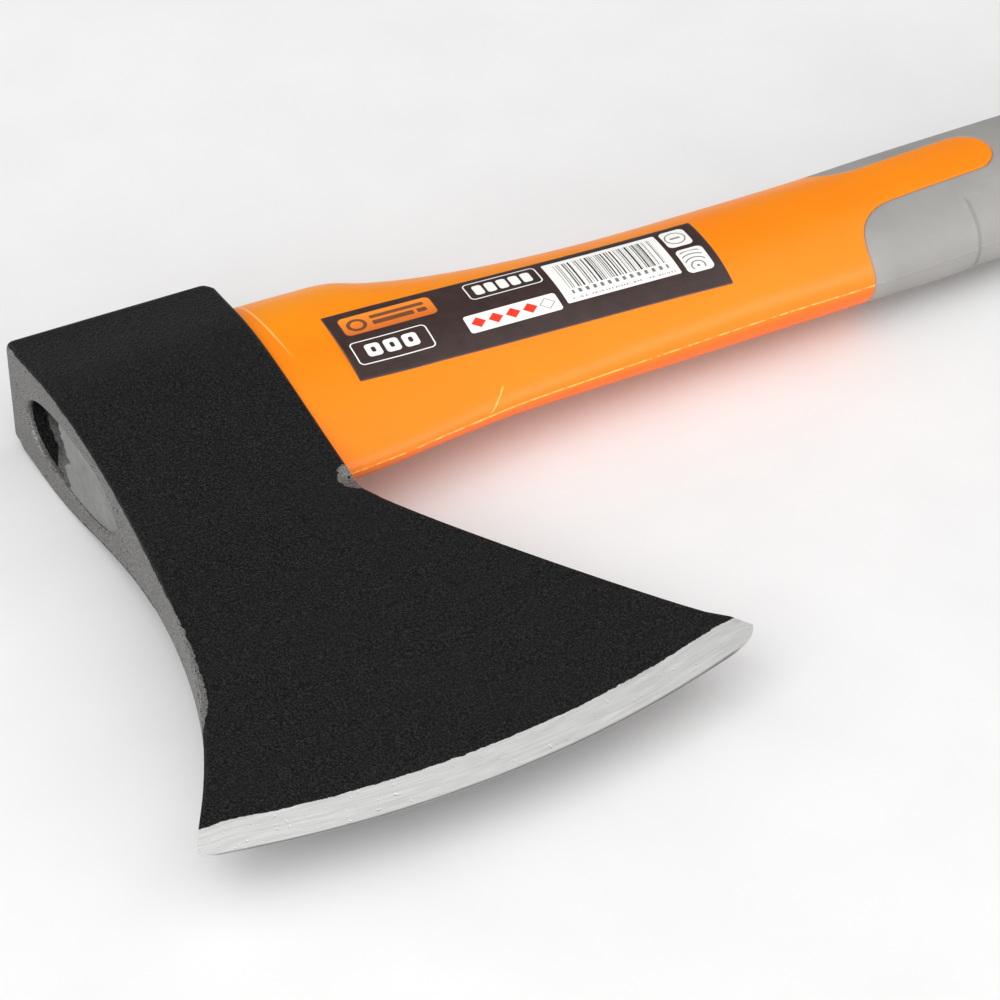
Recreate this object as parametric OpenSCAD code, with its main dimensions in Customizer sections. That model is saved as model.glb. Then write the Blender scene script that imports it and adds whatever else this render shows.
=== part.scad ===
// Hand axe lying on its side: a forged steel head on a two-component handle with a
// fibreglass core. X runs from the eye end of the head to the butt, -Y faces the
// cutting edge and Z is the thickness. The origin is at the middle of the bounding
// box, on the plane that the head lies on.

/* [Head] */
// Distance from the poll's flat, at the handle, to the middle of the cutting edge
head_depth = 143.6; // [136:0.2:150]
// How far the poll's flat rises towards the eye end
poll_rise = 2; // [0:0.1:2.5]
// Length of the eye along the handle
eye_length = 43.8; // [40:0.2:47]
// Thickness across the cheeks at the widest place
cheek_thickness = 25.8; // [24:0.2:27]
// Thickness of the head at the poll
poll_thickness = 23.8; // [21:0.2:25]
// Thickness of the blade where the eye's swelling ends
blade_thickness = 11; // [9:0.2:12]
// Loss of half thickness for each millimetre of blade
blade_taper = 0.057; // [0.05:0.001:0.062]
// Width of each ground bevel
bevel_width = 6.1; // [5:0.1:7]
// How far the toe reaches past the eye end of the head
toe_reach = 26; // [22:0.5:30]
// How far the heel reaches past the eye end of the head
heel_reach = 86.2; // [82:0.2:90]
// Radius of the curved cutting edge
edge_radius = 196.2; // [190:0.2:230]
// Angle between each ground bevel and the mid-plane
bevel_angle = 16; // [14:0.5:20]

/* [Eye] */
// Steel left between the eye and the poll's flat
poll_wall = 7.2; // [6:0.2:9]
// Length of the eye from the poll side to the blade side
eye_depth = 41.1; // [38:0.1:43]
// Width of the eye across the cheeks
eye_width = 14.8; // [13.6:0.2:15.6]
// Depth of the resin's surface below the end of the head
resin_recess = 0.6; // [0.4:0.1:1.2]
// Depth of the unfilled pocket beside the poll
pocket_depth = 12; // [8:0.5:16]
// Length of the unfilled pocket
pocket_length = 17; // [14:0.5:20]

/* [Core] */
// Depth of the fibreglass core's flat oval section
core_depth = 20; // [18:0.5:21]
// Thickness of the fibreglass core
core_thickness = 11; // [9:0.5:11.5]
// Distance from the end of the head to the start of the core
core_start = 3; // [2:0.5:5]
// Distance from the end of the head to the far end of the core
core_end = 290; // [260:1:294]
// Slope of the core towards the belly of the handle
core_slope = 1.9; // [1.6:0.1:2.1]

/* [Handle] */
// Distance from the eye end of the head to the butt
handle_end = 334; // [332:1:350]
// Radius that rounds the butt
butt_round = 14; // [10:1:16]
// Thickness of the handle at its thinnest
throat_thickness = 20.6; // [20.4:0.2:22]
// Thickness of the handle at the grip
grip_thickness = 22.6; // [21.8:0.2:24]
// Distance from the eye end of the head to the shoulder of the jacket
shoulder_x = 67; // [64:1:69]

/* [Grip] */
// Distance from the eye end of the head to the front of the rubber
grip_start = 166.5; // [160:0.5:170]
// Thickness of the rubber over the jacket
grip_skin = 2.2; // [1.6:0.2:2.6]
// Width of the tongue of hard plastic on each side of the grip
tongue_width = 13.2; // [10:0.2:15]
// Length of the tongue from the front of the rubber
tongue_length = 41; // [30:1:50]

/* [Hang hole] */
// Diameter of the hole in the butt
hole_d = 8; // [6:0.5:9]
// Distance from the butt to the middle of the hole
hole_inset = 18; // [17:0.5:20]
// Diameter of the hard ring around the hole
ring_d = 17; // [15:0.5:18]
// Thickness of the hard ring
ring_thickness = 18.8; // [18:0.2:20]

/* [Label] */
// Length of the label
label_length = 81.4; // [60:0.2:84]
// Height of the label
label_height = 20; // [16:0.5:23]
// Turn of the label from the handle's length
label_turn = -5.3; // [-7:0.1:-4]
// Thickness of the label film
label_film = 0.25; // [0.2:0.05:0.4]

/* [Hidden] */

// Longer than anything it has to cut through
reach = 400;
// Steps in each curve of an outline
steps = 14;
// Points round a section of the handle
ring_points = 36;

function bezier(p, t) =
  pow(1 - t, 3) * p[0] + 3 * pow(1 - t, 2) * t * p[1] + 3 * (1 - t) * t * t * p[2] + t * t * t * p[3];
function curve(p) = [for (i = [0:steps]) bezier(p, i / steps)];
function corner(a, c, b) =
  [for (i = [0:steps / 2]) let (t = 2 * i / steps) pow(1 - t, 2) * a + 2 * t * (1 - t) * c + t * t * b];

// ---- Head: side outline, thickness and eye ----
half_cheek = cheek_thickness / 2;
half_poll = poll_thickness / 2;
half_blade = blade_thickness / 2;
swell_y = -18;
blade_y = -72;
neck_y = -64;
face_slope = 0.028;
edge_mid_x = (heel_reach - toe_reach) / 2 - 1.1;
edge_centre_y = edge_radius - head_depth;

// Handle side of the head, which leans a little towards the eye end
function face_x(y) = eye_length + face_slope * y;

toe_tip = [-toe_reach, -head_depth + 9.8];
heel_tip = [heel_reach, -head_depth + 11];
poll_corner = 2;
toe_side = [[0, -32], [0, -89], toe_tip + [12.5, 19], toe_tip + [0.4, 0.8]];
heel_side = [[face_x(neck_y) + 0.6, -68.4], [47.8, -80.6], heel_tip + [-5.9, 4.5], heel_tip];

// The poll's flat, which rises towards the eye end
function poll_y(x) = poll_rise * (1 - x / eye_length);

head_outline = concat(
  corner([0, poll_y(0) - poll_corner], [0, poll_y(0)], [poll_corner, poll_y(poll_corner)]),
  corner([face_x(0) - 3, poll_y(face_x(0) - 3)], [face_x(0), 0], [face_x(-3), -3]),
  corner([face_x(neck_y), neck_y], [face_x(neck_y) - 0.6, -67], heel_side[0]),
  curve(heel_side),
  corner(heel_tip, heel_tip + [-1.2, -3.4], heel_tip + [-10.2, -7.9]),
  [[edge_mid_x, -head_depth - 3]],
  corner(toe_tip + [6, -5.6], toe_tip + [-1.4, -2.4], toe_tip + [0.4, 0.8]),
  [for (i = [steps:-1:0]) bezier(toe_side, i / steps)]
);

cheek_curve = concat(
  [[poll_rise + 1, half_poll]],
  curve([[0, half_poll], [-6, half_poll], [swell_y + 6, half_cheek], [swell_y, half_cheek]]),
  curve([[swell_y, half_cheek], [swell_y - 15, half_cheek],
    [blade_y + 18, half_blade + 18 * blade_taper], [blade_y, half_blade]]),
  [[-head_depth - 5, half_blade]]
);
cheek_profile = concat(
  cheek_curve,
  [for (i = [len(cheek_curve) - 1:-1:0]) [cheek_curve[i][0], -cheek_curve[i][1]]]
);

half_eye = eye_width / 2;
eye_wide_y = -poll_wall - 0.4 * eye_depth;
eye_tip_y = -poll_wall - eye_depth;
eye_curve = concat(
  curve([[-poll_wall, 0], [-poll_wall, 0.68 * half_eye],
    [-poll_wall - 6.8, half_eye], [eye_wide_y, half_eye]]),
  curve([[eye_wide_y, half_eye], [eye_wide_y - 12.5, half_eye],
    [eye_tip_y + 3.3, 0.9 * half_eye], [eye_tip_y, 0]])
);
eye_outline = concat(eye_curve, [for (i = [len(eye_curve) - 2:-1:1]) [eye_curve[i][0], -eye_curve[i][1]]]);

// ---- Handle: sections along its length ----
lean_bow = 0.45;
half_throat = throat_thickness / 2;
half_grip = grip_thickness / 2;
// Each station holds x, belly y, back y, half thickness, squareness of the back, lean
// and squareness of the belly
stations = [
  [eye_length - 2, -56.4, -2.2, half_throat + 0.1, 3, 0.12, 2],
  [shoulder_x - 10, -55.8, -3.2, half_throat, 3, 0.12, 2],
  [shoulder_x - 1, -54.9, -4.5, half_throat, 3, 0.12, 2],
  [shoulder_x + 6, -54.3, -8, half_throat, 2.8, 0.11, 2],
  [84, -53.5, -12, half_throat, 2.7, 0.1, 2],
  [100, -53.5, -15.5, half_throat, 2.6, 0.08, 2.05],
  [120, -53.7, -18, half_throat, 2.5, 0.06, 2.2],
  [145, -54.2, -19.4, half_throat + 0.2, 2.4, 0.04, 2.25],
  [166, -55.2, -20.5, half_grip - 0.4, 2.35, 0.03, 2.1],
  [190, -55.4, -20.8, half_grip, 2.3, 0, 2.2],
  [228, -53.8, -22.2, half_grip - 0.1, 2.3, 0, 2.3],
  [268, -52.4, -23.8, half_grip - 0.5, 2.3, 0, 2.3],
  [296, -56.4, -24.6, half_grip - 0.3, 2.3, 0, 2.3],
  [316, -62.4, -26.6, half_grip, 2.4, 0, 2.4],
  [handle_end, -64.5, -30, half_grip - 0.2, 2.5, 0, 2.5]
];
last = len(stations) - 1;

function slope(i, c) =
  let (a = max(i - 1, 0), b = min(i + 1, last))
  (stations[b][c] - stations[a][c]) / (stations[b][0] - stations[a][0]);
function span(x) = max([for (i = [0:last - 1]) if (i == 0 || stations[i][0] <= x) i]);
// Value of column c at x, on a smooth curve through the stations
function along(x, c) =
  let (i = span(x), h = stations[i + 1][0] - stations[i][0], t = (x - stations[i][0]) / h)
  (2 * t * t * t - 3 * t * t + 1) * stations[i][c]
  + (t * t * t - 2 * t * t + t) * h * slope(i, c)
  + (3 * t * t - 2 * t * t * t) * stations[i + 1][c]
  + (t * t * t - t * t) * h * slope(i + 1, c);
function signed_power(u, e) = sign(u) * pow(abs(u), e);
// Change of thickness across a section, from the belly at -1 to the back at 1
function lean(x, v) = 1 + along(x, 5) * v * (1 - lean_bow * v);
// Share of the section that is left where the butt rounds off
function butt_scale(x) = x <= handle_end - butt_round ? 1 :
  sqrt(1 - pow(min((x - handle_end + butt_round) / butt_round, 0.999), 2));
function middle_y(x) = (along(x, 1) + along(x, 2)) / 2;

// One section of the handle, with its skin set back by inset
function section(x, inset) =
  let (y0 = middle_y(x), b = (along(x, 2) - along(x, 1)) / 2 - inset, a = along(x, 3) - inset)
  let (back = 2 / along(x, 4), belly = 2 / along(x, 6), f = butt_scale(x))
  [for (i = [0:ring_points - 1])
    let (c = cos(360 * i / ring_points), e = c < 0 ? belly : back)
    let (u = signed_power(c, e), w = signed_power(sin(360 * i / ring_points), e))
    [x, y0 + f * b * u, f * a * w * lean(x, u)]];
// The first section lies on the leaning side of the head
function on_face(ring) = [for (p = ring) [face_x(p[1]), p[1], p[2]]];

function sections(places, inset, from_face) =
  [for (i = [0:len(places) - 1])
    from_face && i == 0 ? on_face(section(places[0], inset)) : section(places[i], inset)];

butt_places = [for (a = [18:18:90]) handle_end - butt_round + butt_round * sin(a)];
grip_places = [for (i = [0:15]) 170 + (handle_end - butt_round - 170) * i / 15];
front_places = concat(
  [eye_length, 50, 58, shoulder_x - 4, shoulder_x - 1, shoulder_x + 1, shoulder_x + 3.5, shoulder_x + 6],
  [79, 86, 94, 103, 113, 124, 135, 147, 159]
);

// Solid through a row of sections
module loft(rings) {
  n = ring_points;
  rows = len(rings);
  sides = [for (r = [0:rows - 2], i = [0:n - 1], half = [0, 1])
    let (a = r * n + i, b = r * n + (i + 1) % n)
    half == 0 ? [a, a + n, b] : [b, a + n, b + n]];
  first_cap = [[for (i = [0:n - 1]) i]];
  last_cap = [[for (i = [n - 1:-1:0]) (rows - 1) * n + i]];
  polyhedron(points = [for (ring = rings, p = ring) p], faces = concat(first_cap, sides, last_cap));
}

module handle_form() {
  loft(sections(concat(front_places, grip_places, butt_places), 0, true));
}

// The hard plastic under the rubber
module inner_form() {
  places = concat([grip_start - 8], grip_places, [for (x = butt_places) x - grip_skin]);
  loft(sections(places, grip_skin, false));
}

// ---- Rubber: where it covers the handle, seen from the side ----
tongue_y = middle_y(grip_start + tongue_length / 2) + 1;
tongue_end = grip_start + tongue_length;
function tongue_side(side) = tongue_y + side * tongue_width / 2;

module rubber_area() {
  difference() {
    polygon(concat(
      [[grip_start + 1.8, -reach]],
      curve([[grip_start + 1.8, tongue_side(-1) - 14], [grip_start - 1.5, tongue_side(-1) - 7.6],
        [grip_start + 3, tongue_side(-1)], [grip_start + 12, tongue_side(-1)]]),
      curve([[grip_start + 13.5, tongue_side(1)], [grip_start + 5, tongue_side(1)],
        [grip_start + 2, tongue_side(1) + 5.3], [grip_start + 3.5, tongue_side(1) + 12.3]]),
      [[grip_start + 3.5, reach], [reach, reach], [reach, -reach]]
    ));
    translate([grip_start, tongue_side(-1)]) square([tongue_length - tongue_width / 2, tongue_width]);
    translate([tongue_end - tongue_width / 2, tongue_y]) circle(d = tongue_width, $fn = 64);
    translate(hole_place) circle(d = ring_d, $fn = 64);
  }
}

hole_place = [handle_end - hole_inset, middle_y(handle_end - hole_inset)];

// ---- Label: a film that follows the side of the jacket ----
label_middle = [96.9, -35.3];
label_gap = 0.02;
label_columns = 24;
label_rows = 10;

function side_z(x, y) =
  let (b = (along(x, 2) - along(x, 1)) / 2, v = (y - middle_y(x)) / b, n = along(x, v < 0 ? 6 : 4))
  along(x, 3) * pow(1 - pow(abs(v), n), 1 / n) * lean(x, v);
function label_point(i, j, lift) =
  let (u = (i / label_columns - 0.5) * label_length, v = (j / label_rows - 0.5) * label_height)
  let (x = label_middle[0] + u * cos(label_turn) - v * sin(label_turn))
  let (y = label_middle[1] + u * sin(label_turn) + v * cos(label_turn))
  [x, y, side_z(x, y) + lift];

// ---- Place in the part's own frame ----
frame_x = (handle_end - toe_reach) / 2;
frame_y = (head_depth - poll_y(poll_corner)) / 2;
module placed() {
  translate([-frame_x, frame_y, half_cheek]) children();
}

// Extrudes a shape drawn across the handle, along the handle
module along_handle(length) {
  rotate([90, 0, 90]) linear_extrude(length) children();
}

module head_side_form() {
  translate([0, 0, -half_cheek - 1]) linear_extrude(cheek_thickness + 2) polygon(head_outline);
}

// Disc with a sharp rim, which thins the blade towards the edge and grinds both bevels
module bevel_disc() {
  half_bevel = bevel_width * tan(bevel_angle);
  blade_rim = edge_radius - head_depth - blade_y;
  half_rim = half_bevel + (edge_radius - bevel_width - blade_rim) * blade_taper;
  half = [[blade_rim - 30, half_cheek + 1], [blade_rim, half_rim], [edge_radius - bevel_width, half_bevel]];
  translate([edge_mid_x, edge_centre_y, 0])
    rotate_extrude($fn = 360)
      polygon(concat([[0, -half_cheek - 1]], [for (p = half) [p[0], -p[1]]], [[edge_radius, 0]],
        [for (i = [2:-1:0]) half[i]], [[0, half_cheek + 1]]));
}

// Flat oval bar, set a little to the blade side of the eye's middle
module core_form(start, end) {
  round_offset = (core_depth - core_thickness) / 2;
  blade_shift = 0.6;
  translate([0, -poll_wall - eye_depth / 2 - blade_shift, 0])
    rotate([0, 0, -core_slope])
      translate([start, 0, 0])
        along_handle(end - start) {
          square([2 * round_offset, core_thickness], center = true);
          for (side = [-1, 1]) translate([side * round_offset, 0]) circle(d = core_thickness, $fn = 64);
        }
}

module axe_head() {
  color([0.12, 0.12, 0.13])
    placed()
      difference() {
        intersection() {
          head_side_form();
          translate([-toe_reach - 5, 0, 0]) along_handle(heel_reach + toe_reach + 10) polygon(cheek_profile);
          bevel_disc();
        }
        translate([-1, 0, 0]) along_handle(eye_length + 2) polygon(eye_outline);
      }
}

// Epoxy that bonds the core in the eye, with the unfilled pocket at its poll end
module eye_resin() {
  color([0.6, 0.6, 0.58])
    placed()
      difference() {
        intersection() {
          translate([resin_recess, 0, 0]) along_handle(eye_length) polygon(eye_outline);
          head_side_form();
        }
        translate([-1, -poll_wall - pocket_length, -half_eye])
          cube([pocket_depth + 1, pocket_length + 1, eye_width]);
        core_form(core_start, eye_length + 5);
      }
}

module fibreglass_core() {
  color([0.75, 0.75, 0.68]) placed() core_form(core_start, core_end);
}

module handle_jacket() {
  color([1, 0.55, 0.1])
    placed()
      difference() {
        union() {
          difference() {
            handle_form();
            translate([0, 0, -half_cheek]) linear_extrude(cheek_thickness) rubber_area();
          }
          inner_form();
        }
        core_form(core_start, core_end);
        translate([hole_place[0], hole_place[1], -half_cheek])
          cylinder(d = hole_d, h = cheek_thickness, $fn = 64);
        for (side = [0, 1])
          mirror([0, 0, side])
            translate([hole_place[0], hole_place[1], ring_thickness / 2])
              cylinder(d = ring_d, h = cheek_thickness, $fn = 64);
      }
}

module rubber_grip() {
  color([0.72, 0.72, 0.7])
    placed()
      difference() {
        intersection() {
          handle_form();
          translate([0, 0, -half_cheek]) linear_extrude(cheek_thickness) rubber_area();
        }
        inner_form();
      }
}

module side_label() {
  across = label_rows + 1;
  corners = (label_columns + 1) * across;
  points = [for (lift = [label_gap, label_gap + label_film], i = [0:label_columns], j = [0:label_rows])
    label_point(i, j, lift)];
  cells = [for (i = [0:label_columns - 1], j = [0:label_rows - 1]) i * across + j];
  under = [for (a = cells, half = [0, 1])
    half == 0 ? [a, a + across, a + across + 1] : [a, a + across + 1, a + 1]];
  over = [for (f = under) [f[0] + corners, f[2] + corners, f[1] + corners]];
  rim = concat(
    [for (i = [0:label_columns]) i * across],
    [for (j = [1:label_rows]) label_columns * across + j],
    [for (i = [label_columns - 1:-1:0]) i * across + label_rows],
    [for (j = [label_rows - 1:-1:1]) j]
  );
  sides = [for (i = [0:len(rim) - 1], half = [0, 1])
    let (a = rim[i], b = rim[(i + 1) % len(rim)])
    half == 0 ? [a, a + corners, b] : [b, a + corners, b + corners]];
  color([0.24, 0.18, 0.17]) placed() polyhedron(points = points, faces = concat(under, over, sides));
}

axe_head();
eye_resin();
fibreglass_core();
handle_jacket();
rubber_grip();
side_label();
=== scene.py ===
"""A small hand axe with a two-component handle, lying on its side.

Shapes are worked out in millimetres in the axe's own measures: x runs along the handle
from the eye end of the head, y is 0 where the poll meets the handle and falls towards the
cutting edge, and z is 0 at the mid-plane. place() puts such points in the frame, in metres.
"""

import math

import bpy
import numpy as np
from mathutils import Matrix, Vector
from mathutils.geometry import delaunay_2d_cdt


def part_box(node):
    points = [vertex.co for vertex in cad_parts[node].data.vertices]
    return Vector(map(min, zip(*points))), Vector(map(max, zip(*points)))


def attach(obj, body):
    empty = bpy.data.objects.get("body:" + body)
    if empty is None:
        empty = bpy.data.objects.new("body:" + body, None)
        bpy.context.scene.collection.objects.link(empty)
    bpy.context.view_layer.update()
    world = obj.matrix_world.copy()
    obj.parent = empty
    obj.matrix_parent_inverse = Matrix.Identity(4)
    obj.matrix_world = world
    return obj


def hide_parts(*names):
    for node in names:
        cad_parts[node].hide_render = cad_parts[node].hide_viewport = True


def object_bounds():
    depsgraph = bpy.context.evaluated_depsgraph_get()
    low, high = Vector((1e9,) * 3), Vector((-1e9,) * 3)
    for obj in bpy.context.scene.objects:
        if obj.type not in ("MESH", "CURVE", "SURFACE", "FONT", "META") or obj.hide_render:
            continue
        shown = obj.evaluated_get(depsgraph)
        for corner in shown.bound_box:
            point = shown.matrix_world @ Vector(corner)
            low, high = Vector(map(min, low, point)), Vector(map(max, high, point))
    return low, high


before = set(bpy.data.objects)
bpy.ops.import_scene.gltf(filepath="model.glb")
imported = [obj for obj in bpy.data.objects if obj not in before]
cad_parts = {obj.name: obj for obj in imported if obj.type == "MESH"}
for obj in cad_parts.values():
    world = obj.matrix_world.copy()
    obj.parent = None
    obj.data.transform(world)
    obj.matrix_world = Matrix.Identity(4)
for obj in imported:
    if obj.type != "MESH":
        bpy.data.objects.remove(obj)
cad_low, cad_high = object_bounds()

MM = 0.001

# ---- Driving dimensions, in millimetres ----
# From y = 0 to the edge, kept just inside the frame's head, whose mesh cuts across the edge's arc
HEAD_DEPTH = 143.58
POLL_RISE = 2.0
POLL_CORNER = 2.0
EYE_LENGTH = 43.8
FACE_SLOPE = 0.028
HALF_CHEEK = 12.9
HALF_POLL = 11.9
HALF_BLADE = 5.5
BLADE_TAPER = 0.057
TOE_REACH = 26.0
HEEL_REACH = 86.2
EDGE_RADIUS = 196.2
BEVEL_WIDTH = 6.1
BEVEL_TAN = math.tan(math.radians(16))
POLL_WALL = 7.2
EYE_DEPTH = 41.1
HALF_EYE = 7.4
HANDLE_END = 334.0
BUTT_ROUND = 14.0
GRIP_START = 166.5
TONGUE_HALF = 6.6
TONGUE_END = 207.5
RUBBER = 2.2
HOLE_R = 4.0
RING_R = 8.5
RING_HALF = 9.4
END_ROUND = 0.45
CORE_FLAT = 4.5
CORE_HALF = 5.5
CORE_TILT = math.radians(1.9)
CORE_RUN = (2.2, 290.4)
HOLE_X = HANDLE_END - 18


def poll_y(x):
    """The poll's flat, which rises towards the eye end."""
    return POLL_RISE * (1 - x / EYE_LENGTH)


# The eye end, the poll's flat where it meets the handle, and the mid-plane, in the frame
head_low, head_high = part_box("axe_head")
ORIGIN = np.array([
    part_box("rubber_grip")[1].x - HANDLE_END * MM,
    head_high.y - poll_y(POLL_CORNER) * MM,
    (head_low.z + head_high.z) / 2,
])


def place(points):
    """Points in the axe's millimetres, as metres in the frame."""
    return ORIGIN + np.asarray(points, float) * MM


# ---- Curves ----
def bezier(points, count):
    p = np.asarray(points, float)
    t = np.linspace(0, 1, count)[:, None]
    return (1 - t) ** 3 * p[0] + 3 * (1 - t) ** 2 * t * p[1] + 3 * (1 - t) * t ** 2 * p[2] + t ** 3 * p[3]


def corner(a, c, b, count=9):
    a, b, c = (np.asarray(v, float) for v in (a, b, c))
    t = np.linspace(0, 1, count)[:, None]
    return (1 - t) ** 2 * a + 2 * t * (1 - t) * c + t ** 2 * b


def smooth(t):
    t = np.clip(t, 0, 1)
    return t * t * (3 - 2 * t)


def hump(d, width):
    return np.exp(-(d / width) ** 2)


def distances(points, line):
    """Distance from each point to a polyline, and the index of the nearest stretch."""
    a, b = line[:-1], line[1:]
    ab = b - a
    length = np.maximum((ab ** 2).sum(1), 1e-12)
    best = np.full(len(points), 1e9)
    nearest = np.zeros(len(points), int)
    for start in range(0, len(points), 4000):
        p = points[start:start + 4000, None, :]
        t = np.clip(((p - a) * ab).sum(2) / length, 0, 1)
        d = np.sqrt((((a + t[..., None] * ab) - p) ** 2).sum(2))
        nearest[start:start + 4000] = d.argmin(1)
        best[start:start + 4000] = d.min(1)
    return best, nearest


# ---- Meshes ----
def make_mesh(name, points, faces, sharp_angle=40):
    mesh = bpy.data.meshes.new(name)
    mesh.from_pydata([tuple(p) for p in place(points)], [], [tuple(int(i) for i in f) for f in faces])
    mesh.validate()
    obj = bpy.data.objects.new(name, mesh)
    bpy.context.scene.collection.objects.link(obj)
    shade(mesh, sharp_angle)
    return obj


def shade(mesh, sharp_angle):
    mesh.polygons.foreach_set("use_smooth", [True] * len(mesh.polygons))
    mesh.set_sharp_from_angle(angle=math.radians(sharp_angle))
    mesh.update()


def grid_points(rows, columns):
    """Every pair of a row's and a column's place, row by row."""
    return np.stack(np.meshgrid(rows, columns, indexing="ij"), -1).reshape(-1, 2)


def grid_faces(rows, columns):
    """Faces between the points of a grid that is kept row by row."""
    i, j = np.meshgrid(np.arange(rows - 1), np.arange(columns - 1), indexing="ij")
    a = (i * columns + j).ravel()
    return np.column_stack([a, a + columns, a + columns + 1, a + 1])


def grid_rim(rows, columns):
    """The points on such a grid's border, in order."""
    side = np.arange(rows) * columns
    end = np.arange(1, columns - 1)
    return np.concatenate([side, side[-1] + end, side[::-1] + columns - 1, end[::-1]])


def graded(marks, counts):
    """Places from the first mark to the last, with a count of them for each stretch."""
    runs = [np.linspace(a, b, n) for a, b, n in zip(marks, marks[1:], counts)]
    return np.concatenate([runs[0]] + [run[1:] for run in runs[1:]])


def cut(obj, cutters, sharp_angle):
    """Takes the cutters away from obj, and removes them."""
    for cutter in cutters:
        modifier = obj.modifiers.new("cut", "BOOLEAN")
        modifier.operation = "DIFFERENCE"
        modifier.solver = "EXACT"
        modifier.object = cutter
    graph = bpy.context.evaluated_depsgraph_get()
    mesh = bpy.data.meshes.new_from_object(obj.evaluated_get(graph))
    obj.modifiers.clear()
    old = obj.data
    obj.data = mesh
    bpy.data.meshes.remove(old)
    for cutter in cutters:
        bpy.data.objects.remove(cutter)
    shade(mesh, sharp_angle)


def mesh_points(obj):
    """The vertices of obj, back in the axe's millimetres."""
    co = np.zeros(len(obj.data.vertices) * 3)
    obj.data.vertices.foreach_get("co", co)
    return (co.reshape(-1, 3) - ORIGIN) / MM


def set_attribute(obj, name, values):
    attribute = obj.data.attributes.new(name, "FLOAT", "POINT")
    attribute.data.foreach_set("value", np.asarray(values, np.float32))


def lathe(profile, segments, centre):
    """Points and faces of a closed profile of (radius, z), turned about Z at centre."""
    profile = np.asarray(profile, float)
    turn = np.linspace(0, 2 * np.pi, segments, endpoint=False)
    points = np.array([[centre[0] + r * np.cos(a), centre[1] + r * np.sin(a), z]
                       for a in turn for r, z in profile])
    n = len(profile)
    faces = []
    for s in range(segments):
        here, there = s * n, (s + 1) % segments * n
        faces += [(here + i, there + i, there + (i + 1) % n, here + (i + 1) % n) for i in range(n)]
    return points, faces


# ---- Head ----
def face_x(y):
    return EYE_LENGTH + FACE_SLOPE * y


NECK_Y = -64.0
EDGE_MID_X = (HEEL_REACH - TOE_REACH) / 2 - 1.1
EDGE_CENTRE_Y = EDGE_RADIUS - HEAD_DEPTH
toe_tip = np.array([-TOE_REACH, -HEAD_DEPTH + 9.8])
heel_tip = np.array([HEEL_REACH, -HEAD_DEPTH + 11])
toe_corner = corner([POLL_CORNER, poll_y(POLL_CORNER)], [0, poll_y(0)], [0, poll_y(0) - POLL_CORNER])
neck_corner = corner([face_x(0) - 3, poll_y(face_x(0) - 3)], [face_x(0), 0], [face_x(-3), -3])

toe_side = np.vstack([
    toe_corner[4:],
    bezier([[0, -32], [0, -89], toe_tip + [12.5, 19], toe_tip + [0.4, 0.8]], 160),
    toe_tip + [[0.1, 0]],
])
heel_side = np.vstack([
    neck_corner[4:],
    corner([face_x(NECK_Y), NECK_Y], [face_x(NECK_Y) - 0.6, -67], [face_x(NECK_Y) + 0.6, -68.4]),
    bezier([[face_x(NECK_Y) + 0.6, -68.4], [47.8, -80.6], heel_tip + [-5.9, 4.5], heel_tip], 140),
])
poll_side = np.vstack([toe_corner[4::-1], neck_corner[:5]])


def on_edge(x):
    return EDGE_CENTRE_Y - np.sqrt(EDGE_RADIUS ** 2 - (x - EDGE_MID_X) ** 2)


toe_start, heel_end = -21.0, 76.0
edge_side = np.vstack([
    corner(toe_side[-1], toe_tip + [0.22, -2.6], [toe_start, on_edge(toe_start)], 14),
    [[x, on_edge(x)] for x in np.linspace(toe_start, heel_end, 120)[1:-1]],
    corner([heel_end, on_edge(heel_end)], heel_tip + [-1.2, -3.4], heel_tip, 16),
])


def cheek(y):
    """Half the thickness of the head at y, before the edge is ground."""
    swell = bezier([[0, HALF_POLL], [-6, HALF_POLL], [-12, HALF_CHEEK], [-18, HALF_CHEEK]], 40)
    fall = bezier([[-18, HALF_CHEEK], [-33, HALF_CHEEK], [-54, HALF_BLADE + 18 * BLADE_TAPER],
                   [-72, HALF_BLADE]], 80)
    blade = [[-HEAD_DEPTH - 5, HALF_BLADE]]
    table = np.vstack([swell, fall[1:], blade])
    return np.interp(-y, -table[:, 0], table[:, 1])


def from_edge(x, y):
    """Distance from the circle that the cutting edge lies on."""
    return EDGE_RADIUS - np.hypot(x - EDGE_MID_X, y - EDGE_CENTRE_Y)


def ground(x, y):
    """Half the thickness that the bevel and the blade's taper leave."""
    blade_start = HEAD_DEPTH - 72
    half_bevel = BEVEL_WIDTH * BEVEL_TAN
    half_start = half_bevel + (blade_start - BEVEL_WIDTH) * BLADE_TAPER
    return np.interp(from_edge(x, y), [0, BEVEL_WIDTH, blade_start, blade_start + 30],
                     [0, half_bevel, half_start, HALF_CHEEK + 1])


def soft_min(a, b, width):
    h = np.clip(0.5 + 0.5 * (b - a) / width, 0, 1)
    return b * (1 - h) + a * h - width * h * (1 - h)


DENT = np.array([42.2, -64.4, 9.5])
DENT_R = 4.6


def head_grid():
    rows = graded((0, 0.018, 0.92, 1), (9, 190, 46))
    cols = graded((0, 0.03, 0.97, 1), (9, 140, 9))

    def by(line, axis, share):
        """Points of a line at shares of its run along one axis."""
        run = line[:, axis]
        at = run[0] + (run[-1] - run[0]) * share
        order = np.argsort(run)
        other = np.interp(at, run[order], line[order, 1 - axis])
        return np.column_stack([at, other] if axis == 0 else [other, at])

    left, right = by(toe_side, 1, rows), by(heel_side, 1, rows)
    top, bottom = by(poll_side, 0, cols), by(edge_side, 0, cols)
    s, v = rows[:, None, None], cols[None, :, None]
    corners = (1 - s) * (1 - v) * left[0] + (1 - s) * v * right[0]
    corners = corners + s * (1 - v) * left[-1] + s * v * right[-1]
    return (1 - s) * top[None] + s * bottom[None] + (1 - v) * left[:, None] + v * right[:, None] - corners


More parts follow.
